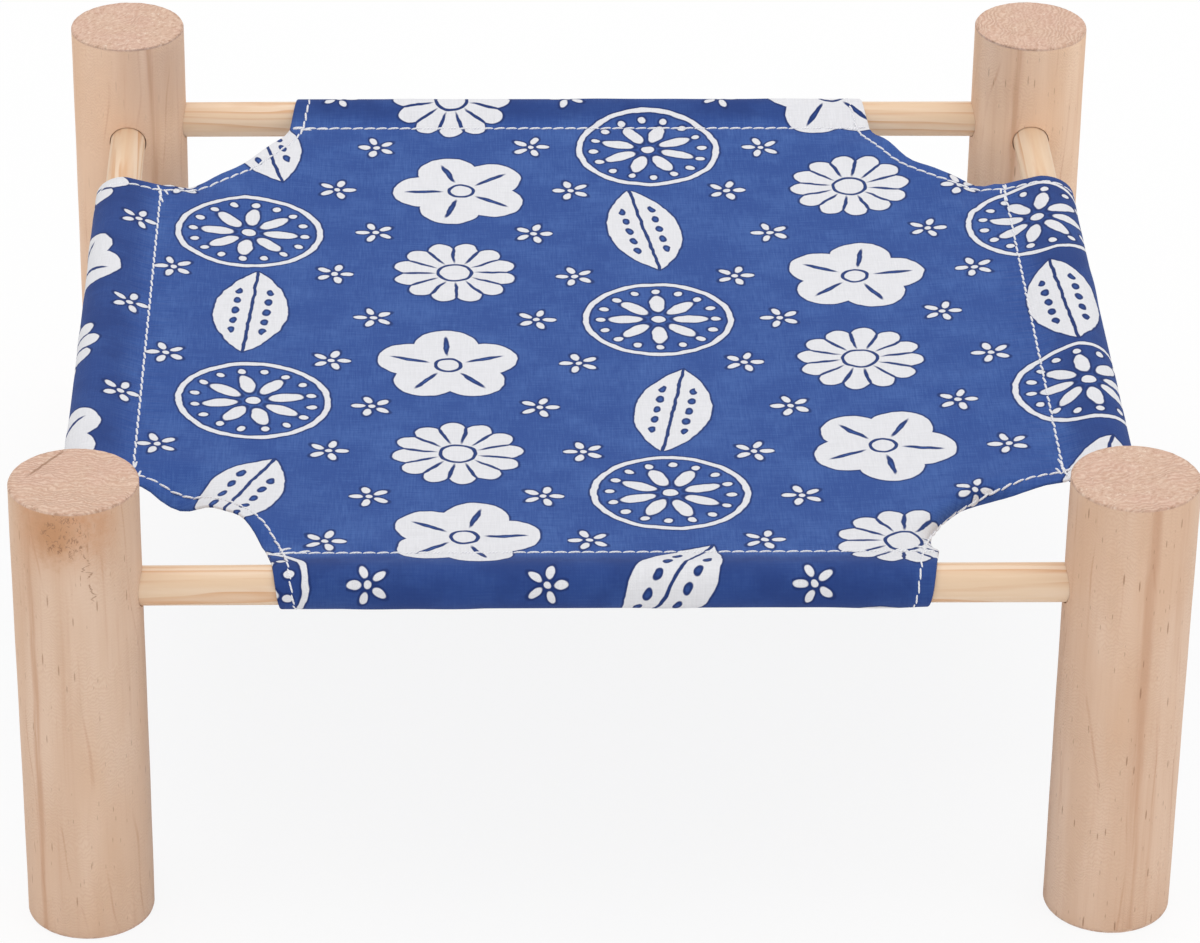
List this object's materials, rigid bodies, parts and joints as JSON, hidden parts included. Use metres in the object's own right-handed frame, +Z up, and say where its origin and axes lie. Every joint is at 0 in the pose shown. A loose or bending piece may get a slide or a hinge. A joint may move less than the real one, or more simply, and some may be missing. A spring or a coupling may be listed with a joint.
{
  "type": "small animal hammock bed",
  "caption": "Low square hammock bed for a small animal: round wooden posts joined by thin rails that run through the sleeves of a taut cotton sling.",
  "frame": {"origin": "on the floor, at the middle of the square that the posts stand on", "axes": "+Z up, +X to the right and +Y to the rear, as seen by someone in front of the bed"},
  "size_m": [0.292, 0.292, 0.125],
  "materials": {
    "leg_front_left": "sawn, unfinished",
    "leg_front_right": "sawn, unfinished",
    "leg_rear_left": "sawn, unfinished",
    "leg_rear_right": "sawn, unfinished",
    "rail_front": "smooth, unfinished",
    "rail_rear": "smooth, unfinished",
    "rail_left": "smooth, unfinished",
    "rail_right": "smooth, unfinished",
    "sling_panel": "plain-weave printed cotton",
    "sleeve_front": "plain-weave printed cotton",
    "sleeve_rear": "plain-weave printed cotton",
    "sleeve_left": "plain-weave printed cotton",
    "sleeve_right": "plain-weave printed cotton"
  },
  "bodies": {
    "root": {"leg_front_left": "leg_front_left", "leg_front_right": "leg_front_right", "leg_rear_left": "leg_rear_left", "leg_rear_right": "leg_rear_right", "rail_front": "rail_front", "rail_rear": "rail_rear", "rail_left": "rail_left", "rail_right": "rail_right", "sling_panel": "sling_panel", "sleeve_front": "sleeve_front", "sleeve_rear": "sleeve_rear", "sleeve_left": "sleeve_left", "sleeve_right": "sleeve_right"}
  },
  "joints": []
}
